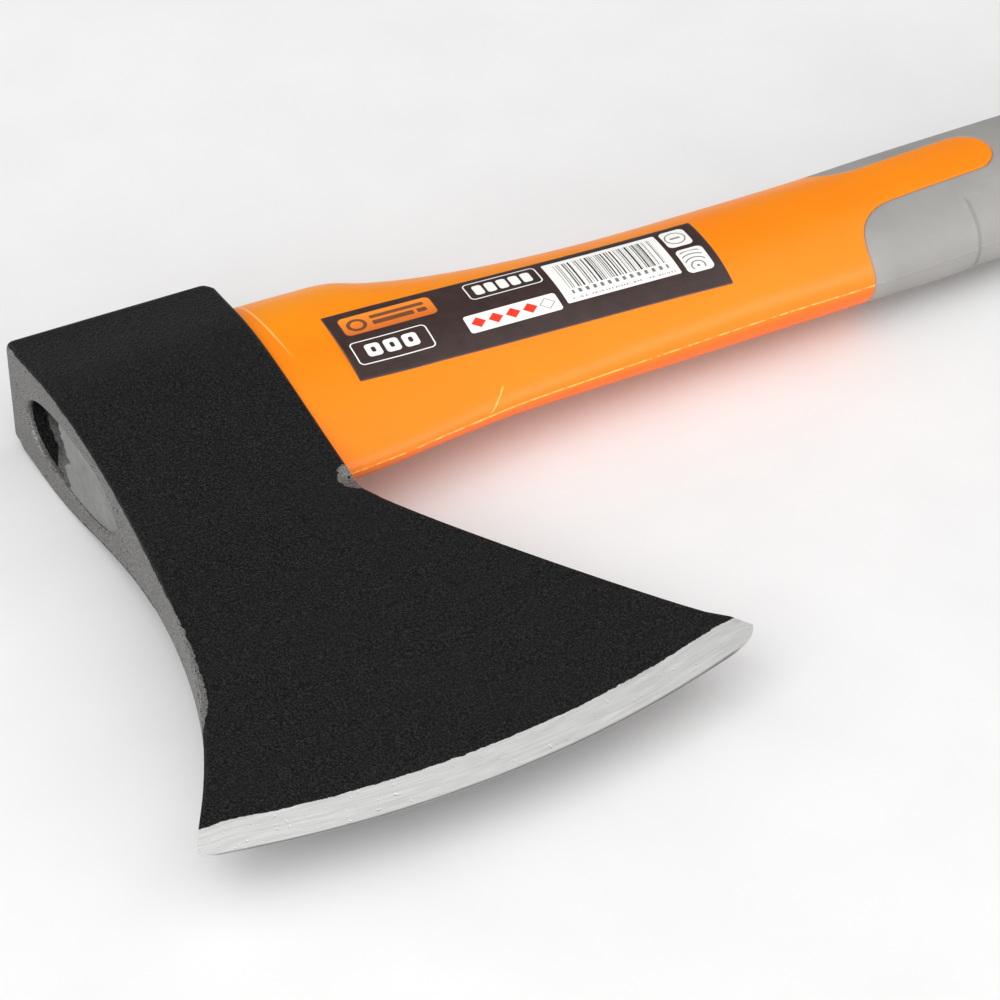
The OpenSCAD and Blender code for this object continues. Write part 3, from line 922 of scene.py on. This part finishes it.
def build_resin():
    outline = eye_outline()
    top = outline[outline[:, 1] >= -1e-9]
    top = top[np.argsort(-top[:, 0])]
    rows, cols = 190, 66
    y = -POLL_WALL - EYE_DEPTH * (0.5 - 0.5 * np.cos(np.linspace(0.03, np.pi - 0.03, rows)))
    half = np.interp(-y, -top[:, 0], top[:, 1])
    share = np.sin(np.linspace(-np.pi / 2, np.pi / 2, cols)) * 0.6 + np.linspace(-1, 1, cols) * 0.4
    yy = np.repeat(y[:, None], cols, 1)
    zz = half[:, None] * share[None, :]
    wall = half[:, None] - np.abs(zz)
    end_gap = np.minimum(-POLL_WALL - yy, yy + POLL_WALL + EYE_DEPTH)
    wall = np.minimum(wall, end_gap)

    # The flat surface, its rim up the wall, and the crack along one side
    surface = RECESS + 0.03 * smooth_noise(yy, zz, 9, 1)
    surface -= 0.16 * hump(wall - 0.95, 0.28) * (zz > 0) * smooth((-yy - 24) / 4)
    surface -= 0.30 * np.clip(1 - wall / 0.5, 0, 1) * (zz > 0)
    torn = 0.10 + 0.10 * smooth_noise(yy, zz * 0, 1.3, 2)
    along_crack = smooth((-yy - 17) / 3) * smooth((yy + 42) / 6)
    surface += 2.2 * smooth((torn + 0.12 - wall) / 0.12) * (zz < 0) * along_crack

    # The unfilled pocket at the poll end, with a broken edge
    broken = -24.2 + 1.7 * smooth_noise(zz, yy * 0, 2.6, 3) + 0.8 * smooth_noise(zz, yy * 0, 0.8, 4)
    broken += 0.16 * zz
    drop = smooth((yy - broken) / 0.9)
    floor = 2.75 + 2.6 * smooth((yy + 18.5) / 7)
    floor += 0.30 * smooth_noise(yy * 0.35, zz, 0.7, 5) + 0.14 * smooth_noise(yy, zz, 0.45, 6)
    floor -= 1.5 * hump(wall, 1.1) * (zz < 2)
    x = surface * (1 - drop) + floor * drop
    x = np.maximum(x, 0.35)
    up = np.column_stack([x.ravel(), yy.ravel(), zz.ravel()])
    down = np.column_stack([face_x(yy.ravel()) - 0.02, yy.ravel(), zz.ravel()])
    count = rows * cols
    quads, rim = np.roll(grid_faces(rows, cols)[:, ::-1], 1, axis=1), grid_rim(rows, cols)
    wall_faces = np.column_stack([rim, np.roll(rim, -1), np.roll(rim, -1) + count, rim + count])
    resin = make_mesh("eye_resin_poured", np.vstack([up, down]),
                      np.vstack([quads, quads[:, ::-1] + count, wall_faces]), 60)
    set_attribute(resin, "broken", np.concatenate([drop.ravel(), 0 * drop.ravel()]))
    # Painted shade in the pocket: near black towards the poll end, less on the -z side
    painted_pocket_shade = drop * smooth((yy + 22.5) / 7) * (1 - 0.55 * smooth(-zz / 5))
    set_attribute(resin, "painted_pocket_shade", np.concatenate([painted_pocket_shade.ravel(), 0 * painted_pocket_shade.ravel()]))
    return resin


# ---- Materials ----
def linear(r, g, b):
    """An sRGB colour from 0 to 255, in linear light."""
    out = []
    for c in (r, g, b):
        c = c / 255
        out.append(c / 12.92 if c <= 0.04045 else ((c + 0.055) / 1.055) ** 2.4)
    return (*out, 1.0)


class Value:
    """A number that a node gives. Reckoning with it adds math nodes."""

    def __init__(self, finish, socket):
        self.finish, self.socket = finish, socket

    def __add__(self, other):
        return self.finish.math("ADD", self, other)

    def __sub__(self, other):
        return self.finish.math("SUBTRACT", self, other)

    def __rsub__(self, other):
        return self.finish.math("SUBTRACT", other, self)

    def __mul__(self, other):
        return self.finish.math("MULTIPLY", self, other)

    def __abs__(self):
        return self.finish.math("ABSOLUTE", self)


class Finish:
    """A procedural material, built from small node helpers. Lengths are in millimetres."""

    def __init__(self, name, slot):
        self.material = bpy.data.materials.new(name)
        self.material.use_nodes = True
        self.slot = slot
        self.tree = self.material.node_tree
        self.tree.nodes.clear()
        self.output = self.node("ShaderNodeOutputMaterial")
        self.shader = self.node("ShaderNodeBsdfPrincipled")
        self.tree.links.new(self.shader.outputs[0], self.output.inputs[0])
        place_node = self.node("ShaderNodeTexCoord")
        self.point = self.scaled(place_node.outputs["Object"], 1000)
        self.uv = place_node.outputs["UV"]

    def node(self, kind, **settings):
        node = self.tree.nodes.new(kind)
        for key, value in settings.items():
            setattr(node, key, value)
        return node

    def put(self, socket, value):
        if isinstance(value, Value):
            value = value.socket
        if isinstance(value, bpy.types.NodeSocket):
            self.tree.links.new(value, socket)
        else:
            socket.default_value = value

    def number(self, kind, inputs, output=0, **settings):
        """The number that a new node gives for these inputs, by name or place."""
        node = self.node(kind, **settings)
        for key, value in inputs.items():
            self.put(node.inputs[key], value)
        return Value(self, node.outputs[output])

    def math(self, operation, a, b=0.0):
        return self.number("ShaderNodeMath", {0: a, 1: b}, operation=operation)

    def vector(self, operation, a, b=(0, 0, 0)):
        if operation in ("LENGTH", "DOT_PRODUCT", "DISTANCE"):
            return self.number("ShaderNodeVectorMath", {0: a, 1: b}, "Value", operation=operation)
        return self.number("ShaderNodeVectorMath", {0: a, 1: b}, operation=operation).socket

    def scaled(self, a, by):
        return self.vector("MULTIPLY", a, by if isinstance(by, tuple) else (by, by, by))

    def split(self, a):
        node = self.node("ShaderNodeSeparateXYZ")
        self.put(node.inputs[0], a)
        return [Value(self, socket) for socket in node.outputs]

    def attribute(self, name):
        return self.number("ShaderNodeAttribute", {}, "Fac", attribute_name=name)

    def noise(self, size, detail, rough, at=None):
        """Noise from 0 to 1 with features about size across."""
        at = self.point if at is None else at
        inputs = {"Vector": at, "Scale": 1 / size, "Detail": detail, "Roughness": rough}
        return self.number("ShaderNodeTexNoise", inputs, "Fac")

    def cells(self, size):
        """Distance to the middle of the nearest of many cells, about size across."""
        return self.number("ShaderNodeTexVoronoi", {"Vector": self.point, "Scale": 1 / size}, "Distance")

    def soft_cells(self, size, smoothness):
        inputs = {"Vector": self.point, "Scale": 1 / size, "Smoothness": smoothness}
        return self.number("ShaderNodeTexVoronoi", inputs, "Distance", feature="SMOOTH_F1")

    def ramp(self, value, low, high, out_low=0.0, out_high=1.0, soft=False):
        return self.number("ShaderNodeMapRange", dict(enumerate((value, low, high, out_low, out_high))),
                           interpolation_type="SMOOTHSTEP" if soft else "LINEAR")

    def mix(self, share, a, b):
        """A blend of two colours. Plain ones are given as sRGB, from 0 to 255."""
        plain = [linear(*colour) if isinstance(colour, tuple) else colour for colour in (a, b)]
        return self.number("ShaderNodeMix", {0: share, 6: plain[0], 7: plain[1]}, 2, data_type="RGBA").socket

    def blend(self, share, a, b):
        return self.number("ShaderNodeMix", {0: share, 2: a, 3: b}, data_type="FLOAT")

    def bump(self, height, strength, depth, after=None):
        """Bump from a height of 0 to 1 that stands for depth millimetres."""
        node = self.node("ShaderNodeBump")
        node.inputs["Strength"].default_value = strength
        node.inputs["Distance"].default_value = depth * MM
        self.put(node.inputs["Height"], height)
        if after is not None:
            self.put(node.inputs["Normal"], after)
        return node.outputs[0]

    def set(self, **values):
        names = {"base": "Base Color", "rough": "Roughness", "metal": "Metallic", "normal": "Normal",
                 "specular": "Specular IOR Level", "scatter": "Subsurface Weight",
                 "scatter_radius": "Subsurface Radius", "scatter_scale": "Subsurface Scale"}
        for key, value in values.items():
            self.put(self.shader.inputs[names[key]], value)

    def on(self, *objs):
        for obj in objs:
            obj.data.materials.clear()
            obj.data.materials.append(self.material)


# Middle of the circle that the cutting edge lies on, in the frame's millimetres
EDGE_CENTRE = tuple(float(v) for v in place([EDGE_MID_X, EDGE_CENTRE_Y, 0]) / MM)


def head_finish():
    f = Finish("powder_coated_steel", "head_steel")
    bare = f.attribute("bare")
    bevel = f.attribute("bevel")
    # Powder coat with a leathery grain
    grain = f.soft_cells(0.5, 0.25)
    fine = f.noise(0.34, 3, 0.7)
    height = grain * 0.8 + fine * 0.5
    broad = f.noise(16, 3, 0.55)
    paint = f.mix(f.ramp(fine, 0.46, 0.6), (1, 1, 2), (42, 42, 42))
    paint = f.mix(f.ramp(height, 0.3, 0.8, 0.6, 0.0), paint, (4, 4, 4))
    paint = f.mix(f.ramp(broad, 0.45, 0.75, 0, 0.3), paint, (24, 24, 24))
    paint_rough = f.ramp(fine, 0.3, 0.7, 0.4, 0.52)
    # Forged steel of the end face, with dark specks and pits
    speck = f.noise(0.35, 3, 0.7)
    grit = f.cells(0.55)
    steel = f.mix(f.ramp(speck, 0.36, 0.6), (62, 62, 60), (150, 149, 147))
    steel = f.mix(f.ramp(f.noise(5, 3, 0.6), 0.35, 0.7, 0, 0.35), steel, (108, 107, 105))
    pits = f.ramp(f.noise(1.1, 3, 0.55), 0.64, 0.70)
    steel = f.mix(pits, steel, (40, 39, 38))
    # Ground bevel, with streaks that run along the edge
    x, y, _ = f.split(f.vector("SUBTRACT", f.point, EDGE_CENTRE))
    turn = f.math("ARCTAN2", x, y) * (EDGE_RADIUS * 0.1)
    combined = f.node("ShaderNodeCombineXYZ")
    f.put(combined.inputs[0], turn)
    f.put(combined.inputs[1], bevel * 2.2)
    streak = f.noise(1.0, 4, 0.65, at=combined.outputs[0])
    bright = f.mix(f.ramp(streak, 0.3, 0.7), (206, 206, 204), (232, 232, 230))
    bright = f.mix(f.ramp(f.noise(9, 3, 0.55), 0.45, 0.8, 0, 0.5), bright, (210, 209, 206))
    # The last half millimetre at the edge is darker: painted shade that stands for a narrow secondary facet
    bright = f.mix(f.ramp(bevel, 5.55, 6.0, 0.0, 0.6), bright, (120, 119, 117))
    on_bevel = f.ramp(bevel, -0.5, -0.2)
    metal_colour = f.mix(on_bevel, steel, bright)
    # Ragged edge of the paint
    tear = (f.noise(1.8, 4, 0.65) - 0.5) * 1.5 + (f.noise(9, 2, 0.5) - 0.5) * 0.9
    wide = f.blend(on_bevel, 1.0, 0.55)
    shown = f.ramp(bare + tear * wide, -0.06, 0.08)
    base = f.mix(shown, paint, metal_colour)
    metal = shown * f.blend(on_bevel, 0.75, 0.95)
    steel_rough = f.blend(on_bevel, f.ramp(grit, 0.1, 0.6, 0.42, 0.6), f.ramp(streak, 0.3, 0.7, 0.36, 0.46))
    rough = f.blend(shown, paint_rough, steel_rough)
    painted_bump = height * (1.0 - shown)
    film = (1.0 - shown) * 0.9
    steel_bump = speck * shown * (1.0 - on_bevel)
    first = f.bump(painted_bump + film, 1.0, 0.24)
    second = f.bump(steel_bump + pits * (shown * -0.8), 0.6, 0.08, after=first)
    third = f.bump(streak * (on_bevel * shown), 0.15, 0.02, after=second)
    f.set(base=base, metal=metal, rough=rough, normal=third, specular=0.13)
    return f


def resin_finish():
    f = Finish("cast_epoxy", "epoxy_resin")
    broken = f.attribute("broken")
    tone = f.mix(f.ramp(f.noise(7, 2, 0.5), 0.3, 0.7), (97, 97, 95), (113, 113, 110))
    stretched = f.scaled(f.point, (1.0, 0.35, 1.6))
    fibre = f.noise(0.5, 4, 0.7, at=stretched)
    dark = f.mix(f.ramp(fibre, 0.35, 0.65), (58, 57, 56), (112, 111, 109))
    # The pocket floor is darkened to near black towards the poll end: painted shade
    dark = f.mix(f.attribute("painted_pocket_shade"), dark, (9, 9, 9))
    base = f.mix(broken, tone, dark)
    dots = f.ramp(f.noise(0.8, 1, 0.5), 0.74, 0.78)
    base = f.mix(dots, base, (70, 69, 66))
    rough = f.blend(broken, f.ramp(f.noise(2.2, 2, 0.5), 0.3, 0.7, 0.3, 0.42), 0.62)
    height = f.noise(1.5, 2, 0.5) * 0.3 + fibre * (broken * 1.5)
    f.set(base=base, rough=rough, normal=f.bump(height, 0.6, 0.1))
    return f


def core_finish():
    f = Finish("pultruded_fibreglass", "fibreglass")
    strands = f.noise(0.4, 4, 0.7, at=f.scaled(f.point, (0.04, 1.0, 1.0)))
    base = f.mix(f.ramp(strands, 0.3, 0.7), (150, 152, 138), (214, 214, 200))
    f.set(base=base, rough=f.ramp(strands, 0.3, 0.7, 0.5, 0.35), normal=f.bump(strands, 0.6, 0.06))
    return f


def jacket_finish():
    f = Finish("moulded_orange_plastic", "jacket_plastic")
    x, y, z = f.split(f.point)
    # Painted shade: a deeper red-orange on the lower side of the jacket, from the mid-plane down
    belly = f.ramp(z, 11, 13.5, 1.0, 0.0, soft=True) * f.ramp(z, 3, 8, soft=True)
    # Painted light: the orange grows lighter towards the back of the handle
    back = f.ramp(y, 15, 62, 0.0, 1.0)
    tone = f.mix(back, (240, 127, 12), (240, 144, 14))
    cloud = f.noise(22, 3, 0.5)
    tone = f.mix(f.ramp(cloud, 0.35, 0.7, 0, 0.35), tone, (240, 119, 12))
    tone = f.mix(belly * 0.75, tone, (240, 98, 14))
    # A deeper band of painted shade beside the head, up to a pale painted highlight along a ridge
    from_head = x - HEAD_END
    head_shade_band = f.ramp(from_head, 2.6, 3.2, 1.0, 0.0) * f.ramp(y, 30, 48)
    tone = f.mix(head_shade_band * 0.45, tone, (255, 126, 22))
    ridge_highlight = f.ramp(abs(from_head - 3.1), 0.1, 0.3, 1.0, 0.0)
    ridge_highlight = ridge_highlight * f.ramp(y, 40, 50)
    tone = f.mix(ridge_highlight * 0.6, tone, (255, 205, 130))
    # Pale flash along the parting line
    line = f.ramp(abs(z - 12.9), 0.05, 0.22, 1.0, 0.0)
    flecks = f.ramp(f.noise(1.6, 3, 0.6), 0.42, 0.58)
    tone = f.mix(line * (flecks * 0.8), tone, (255, 206, 120))
    # A few handling marks
    specks = f.ramp(f.cells(9), 0.0, 0.022, 1.0, 0.0)
    tone = f.mix(specks * 0.5, tone, (190, 90, 20))
    # One scratch, on the upper side near the belly
    from_x, from_z = x - SCRATCH[0], z - SCRATCH[1]
    along_scratch = from_x * SCRATCH_RUN[0] + from_z * SCRATCH_RUN[1]
    across = from_x * SCRATCH_RUN[1] - from_z * SCRATCH_RUN[0]
    across = across + (f.noise(1.6, 3, 0.6) - 0.5) * 0.9
    reach = f.ramp(abs(along_scratch), SCRATCH_HALF - 1, SCRATCH_HALF, 1.0, 0.0)
    near_belly = f.ramp(y, 22, 24, 1.0, 0.0)
    trace = reach * near_belly * f.ramp(abs(across), 0.08, 0.22, 1.0, 0.0)
    tone = f.mix(trace * 0.75, tone, (255, 200, 110))
    grain = f.noise(0.5, 3, 0.6)
    wave = f.noise(11, 2, 0.5)
    first = f.bump(wave, 0.25, 0.5)
    second = f.bump(grain, 0.35, 0.02, after=first)
    third = f.bump(trace * -1.0, 0.8, 0.12, after=second)
    f.set(base=tone, rough=f.ramp(grain, 0.3, 0.7, 0.34, 0.41), normal=third, specular=0.32,
          scatter=0.12, scatter_radius=(1.0, 0.35, 0.1), scatter_scale=0.0015)
    return f


def grip_finish():
    f = Finish("soft_grey_rubber", "grip_rubber")
    cloud = f.noise(14, 3, 0.55)
    fine = f.noise(0.22, 3, 0.65)
    tone = f.mix(f.ramp(cloud, 0.3, 0.7), (140, 138, 135), (152, 150, 147))
    tone = f.mix(f.ramp(fine, 0.35, 0.7, 0, 0.35), tone, (138, 136, 134))
    dust = f.ramp(f.cells(3.1), 0.0, 0.035, 1.0, 0.0)
    tone = f.mix(dust * 0.5, tone, (214, 212, 208))
    f.set(base=tone, rough=f.ramp(fine, 0.3, 0.7, 0.56, 0.68), normal=f.bump(fine, 0.5, 0.05), specular=0.35)
    return f


# The artwork is drawn on a sheet of this size, from its lower left corner, and fitted to the label
ARTWORK = (80.5, 22.0)


def label_finish():
    f = Finish("printed_label_film", "label_film")
    to_sheet = np.array(ARTWORK) / LABEL_SIZE * 100
    at = f.scaled(f.uv, (float(to_sheet[0]), float(to_sheet[1]), 1.0))
    flat = f.vector("MULTIPLY", at, (1, 1, 0))
    u, v, _ = f.split(at)

    def box(left, low, right, high, r):
        """Distance outside a box with rounded corners."""
        middle = ((left + right) / 2, (low + high) / 2, 0)
        half = ((right - left) / 2 - r, (high - low) / 2 - r, 0)
        q = f.vector("SUBTRACT", f.vector("ABSOLUTE", f.vector("SUBTRACT", flat, middle)), half)
        return f.vector("LENGTH", f.vector("MAXIMUM", q, (0, 0, 0))) - r

    def fill(d):
        return f.ramp(d, -0.03, 0.03, 1.0, 0.0)

    def outline(d, width):
        return fill(abs(d) - width / 2)

    def either(*shares):
        total = shares[0]
        for share in shares[1:]:
            total = f.math("MAXIMUM", total, share)
        return total

    dark = f.mix(f.ramp(f.noise(3, 3, 0.6), 0.3, 0.7), (52, 39, 37), (62, 47, 44))
    white = (236, 235, 231)
    colour = dark
    # Orange panel with a mark and three bars
    panel = box(2.4, 13.4, 22.0, 19.9, 1.3)
    orange = f.mix(f.ramp(v, 13.5, 19.5), (205, 105, 40), (243, 140, 44))
    colour = f.mix(fill(panel), colour, orange)
    ring = outline(f.vector("DISTANCE", flat, (5.6, 16.5, 0)) - 1.7, 0.8)
    bars = [fill(box(8.8, 17.4, 20.2, 18.5, 0.3)), fill(box(8.8, 15.2, 17.5, 16.6, 0.3))]
    bars = either(*bars, fill(box(18.2, 15.2, 20.2, 16.6, 0.3)), outline(panel, 0.25), ring)
    colour = f.mix(bars * 0.85, colour, (74, 56, 50))
    # Two outlined boxes that hold plain blocks
    marks = [outline(box(1.8, 4.0, 17.6, 11.0, 1.0), 0.28), outline(box(29.4, 14.4, 44.9, 20.3, 1.0), 0.28)]
    marks += [fill(box(4.2 + 3.9 * k, 5.7, 7.3 + 3.9 * k, 9.6, 0.8)) for k in range(3)]
    marks += [fill(box(30.9 + 2.6 * k, 15.6, 32.9 + 2.6 * k, 19.1, 0.6)) for k in range(5)]
    # White strip, white panel and two white squares
    marks += [fill(box(25.3, 4.5, 45.1, 9.8, 0.7)), fill(box(46.5, 5.5, 71.5, 20.0, 0.4))]
    marks += [fill(box(72.5, 13.7, 78.0, 20.2, 1.2)), fill(box(72.8, 4.7, 78.7, 12.4, 1.2))]
    colour = f.mix(either(*marks), colour, white)
    holes = either(*[fill(box(5.3 + 3.9 * k, 6.9, 6.2 + 3.9 * k, 8.5, 0.4)) for k in range(3)])
    colour = f.mix(holes, colour, dark)
    # Four red lozenges and an empty one
    def lozenge(k):
        spot = f.vector("ABSOLUTE", f.vector("SUBTRACT", at, (27.8 + 3.7 * k, 7.2, 0)))
        return f.vector("DOT_PRODUCT", spot, (0.72, 0.72, 0)) - 1.15
    colour = f.mix(either(*[fill(lozenge(k)) for k in range(4)]), colour, (226, 56, 36))
    colour = f.mix(outline(lozenge(4), 0.16), colour, (110, 100, 98))
    # Upright bars of many widths, over two rows of small dots
    bar_noise = f.noise(0.42, 1, 0.5, at=f.scaled(at, (1.0, 0.0001, 0)))
    bars = fill(box(48.6, 9.6, 69.8, 18.8, 0.05)) * f.ramp(bar_noise, 0.5, 0.52)
    colour = f.mix(bars, colour, (36, 32, 32))
    dots = f.ramp(f.math("FRACT", u * 0.62), 0.42, 0.46, 1.0, 0.0)
    fine_dots = f.ramp(f.noise(0.3, 1, 0.5, at=f.scaled(at, (1.0, 0.0001, 0))), 0.5, 0.53)
    rows = either(fill(box(48.6, 7.9, 69.8, 9.1, 0.05)) * dots,
                  fill(box(48.0, 6.3, 70.8, 6.8, 0.05)) * fine_dots)
    colour = f.mix(rows * 0.8, colour, (44, 40, 40))
    # A ring and a fan in the squares
    far = f.vector("DISTANCE", flat, (75.1, 17.0, 0))
    ring = outline(far - 2.1, 0.3)
    fan = f.vector("DISTANCE", flat, (75.6, 6.4, 0))
    waves = f.ramp(f.math("FRACT", fan * 0.8), 0.25, 0.3, 1.0, 0.0) * fill(box(73.4, 5.6, 77.8, 11.6, 0.8))
    colour = f.mix(either(ring, waves, fill(box(74.0, 16.7, 76.2, 17.3, 0.1))) * 0.8, colour, (60, 54, 54))
    # Cut edge of the film
    to_end = f.math("MINIMUM", u, ARTWORK[0] - u)
    to_side = f.math("MINIMUM", v, ARTWORK[1] - v)
    edge = f.ramp(f.math("MINIMUM", to_end, to_side), 0.05, 0.16, 1.0, 0.0)
    colour = f.mix(edge * 0.5, colour, (150, 90, 70))
    f.set(base=colour, rough=f.ramp(f.noise(2.5, 2, 0.5), 0.3, 0.7, 0.32, 0.42),
          normal=f.bump(f.noise(5, 2, 0.5), 0.3, 0.12), specular=0.4)
    return f


def floor_finish():
    f = Finish("matt_white_card", "")
    tone = f.mix(f.ramp(f.noise(30, 3, 0.5), 0.3, 0.7), (222, 222, 222), (226, 226, 226))
    fine = f.noise(0.6, 2, 0.5)
    f.set(base=tone, rough=0.85, normal=f.bump(fine, 0.2, 0.03), specular=0.1)
    return f


# Scratch on the jacket, in the frame's millimetres: middle, direction and half length
SCRATCH = tuple(place([79.5, 0, 2.3])[[0, 2]] / MM)
SCRATCH_RUN = (math.cos(math.radians(40)), math.sin(math.radians(40)))
SCRATCH_HALF = 2.9
# Where the handle leaves the head, in the frame's millimetres
HEAD_END = float(place([EYE_LENGTH, 0, 0])[0] / MM)

# ---- The object ----
head = build_head()
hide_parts("axe_head")
head_finish().on(head)

jacket, rubber = build_handle()
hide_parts("handle_jacket")
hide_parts("rubber_grip")
jacket_finish().on(jacket)
grip_finish().on(rubber)

label = build_label()
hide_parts("side_label")
label_finish().on(label)

resin = build_resin()
cut(resin, [core_cutter()], 60)
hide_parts("eye_resin")
resin_finish().on(resin)

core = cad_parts["fibreglass_core"]
core_finish().on(core)

for piece in (head, jacket, rubber, label, resin):
    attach(piece, "root")

# ---- Floor, light and camera ----
FLOOR_SIZE = 6.0
floor_mesh = bpy.data.meshes.new("floor")
side = FLOOR_SIZE / 2
floor_corners = [(-side, -side, 0), (side, -side, 0), (side, side, 0), (-side, side, 0)]
floor_mesh.from_pydata(floor_corners, [], [(0, 1, 2, 3)])
floor = bpy.data.objects.new("floor", floor_mesh)
bpy.context.scene.collection.objects.link(floor)
floor.location.z = cad_low.z - 0.0002
floor_finish().on(floor)


def soft_light(name, position, size, power):
    """A soft rectangular light that points at the middle of the object."""
    data = bpy.data.lights.new(name, "AREA")
    data.shape = "RECTANGLE"
    data.size, data.size_y = size
    data.energy = power
    lamp = bpy.data.objects.new(name, data)
    bpy.context.scene.collection.objects.link(lamp)
    lamp.location = position
    lamp.rotation_euler = (-Vector(position)).to_track_quat("-Z", "Y").to_euler()


soft_light("left_softbox", (-0.9, -0.5, 1.0), (1.2, 1.2), 10)
soft_light("front_fill", (0.35, -1.3, 0.32), (1.8, 0.6), 10)

# White studio all round, with a dark screen behind that the flat of the head mirrors
world = bpy.data.worlds.new("studio")
world.use_nodes = True
tree = world.node_tree
background = tree.nodes["Background"]
background.inputs["Color"].default_value = (1, 1, 1, 1)
direction = tree.nodes.new("ShaderNodeTexCoord")
facing = tree.nodes.new("ShaderNodeVectorMath")
facing.operation = "DOT_PRODUCT"
facing.inputs[1].default_value = (0.41, 0.709, 0.574)
screen = tree.nodes.new("ShaderNodeMapRange")
screen.interpolation_type = "SMOOTHSTEP"
SCREEN = (math.cos(math.radians(36)), math.cos(math.radians(18)), 1.0, 0.05)
for socket, value in zip(screen.inputs[1:5], SCREEN):
    socket.default_value = value
tree.links.new(direction.outputs["Generated"], facing.inputs[0])
tree.links.new(facing.outputs["Value"], screen.inputs["Value"])
tree.links.new(screen.outputs[0], background.inputs["Strength"])
bpy.context.scene.world = world

CAMERA_PLACE = place([-196.5, -529.5, 412.6])
PITCH = math.radians(38.30)
HEADING = math.radians(30.107)
ROLL = math.radians(-0.226)
forward = Vector((math.cos(PITCH) * math.sin(HEADING), math.cos(PITCH) * math.cos(HEADING), -math.sin(PITCH)))
right = Vector((math.cos(HEADING), -math.sin(HEADING), 0))
up = right.cross(forward)
rolled_right = right * math.cos(ROLL) + up * math.sin(ROLL)
rolled_up = up * math.cos(ROLL) - right * math.sin(ROLL)
camera_data = bpy.data.cameras.new("camera")
camera_data.sensor_width = 36
camera_data.lens = 127.08
camera = bpy.data.objects.new("camera", camera_data)
bpy.context.scene.collection.objects.link(camera)
turned_axes = Matrix((rolled_right, rolled_up, -forward)).transposed().to_4x4()
camera.matrix_world = Matrix.Translation(CAMERA_PLACE) @ turned_axes
bpy.context.scene.camera = camera
bpy.context.scene.view_settings.view_transform = "Standard"
